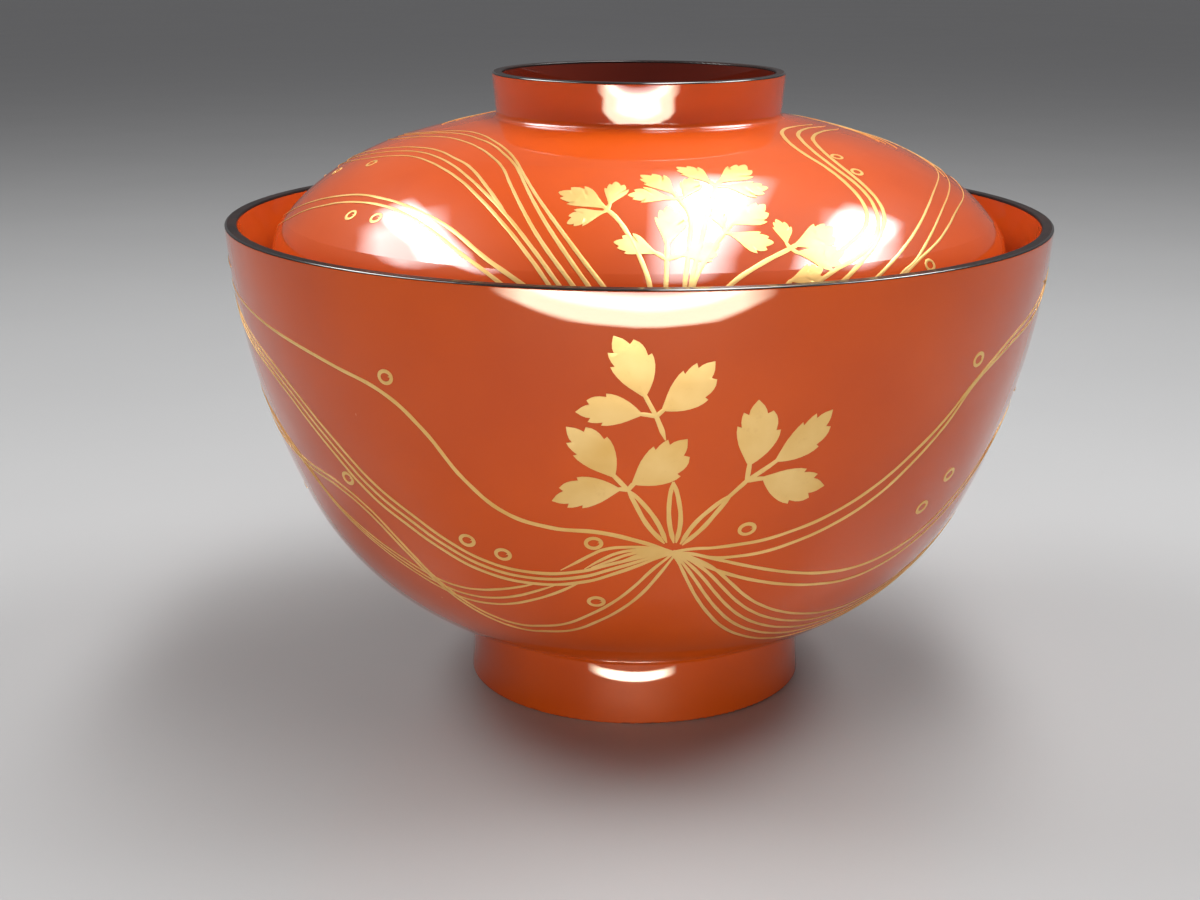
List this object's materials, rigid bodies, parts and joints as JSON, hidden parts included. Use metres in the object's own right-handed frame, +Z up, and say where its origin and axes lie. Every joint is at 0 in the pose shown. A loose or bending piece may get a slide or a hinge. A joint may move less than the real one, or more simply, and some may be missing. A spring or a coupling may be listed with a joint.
{
  "type": "covered lacquer soup bowl",
  "caption": "Round footed wooden soup bowl in vermilion lacquer with black edges, closed by a domed lift-off lid with a ring knob.",
  "frame": {"origin": "centre of the standing edge under the foot, on the table", "axes": "+Z up the turning axis of bowl and lid; -Y is the decorated front"},
  "size_m": [0.12, 0.12, 0.0912],
  "materials": {
    "turned_wood": "bare turned hardwood",
    "hemp_cloth": "plain-woven hemp set in lacquer",
    "vermilion_lacquer": "high gloss",
    "black_lacquer": "high gloss",
    "gold_powder": "burnished metal powder"
  },
  "bodies": {
    "bowl": {"bowl_core": "turned_wood", "bowl_rim_cloth": "hemp_cloth", "bowl_foot_cloth": "hemp_cloth", "bowl_outer_coat": "vermilion_lacquer", "bowl_inner_coat": "vermilion_lacquer", "bowl_rim_band": "black_lacquer", "foot_recess_coat": "vermilion_lacquer", "foot_edge_band": "vermilion_lacquer"},
    "lid": {"lid_core": "turned_wood", "lid_rim_cloth": "hemp_cloth", "lid_outer_coat": "vermilion_lacquer", "lid_inner_coat": "vermilion_lacquer", "lid_rim_band": "black_lacquer", "knob_recess_coat": "vermilion_lacquer", "knob_edge_band": "black_lacquer"}
  },
  "joints": [
    {"name": "lid_lift", "type": "slide", "parent": "bowl", "child": "lid", "axis": [0, 0, 1], "range_m": [0, 0.08]}
  ]
}
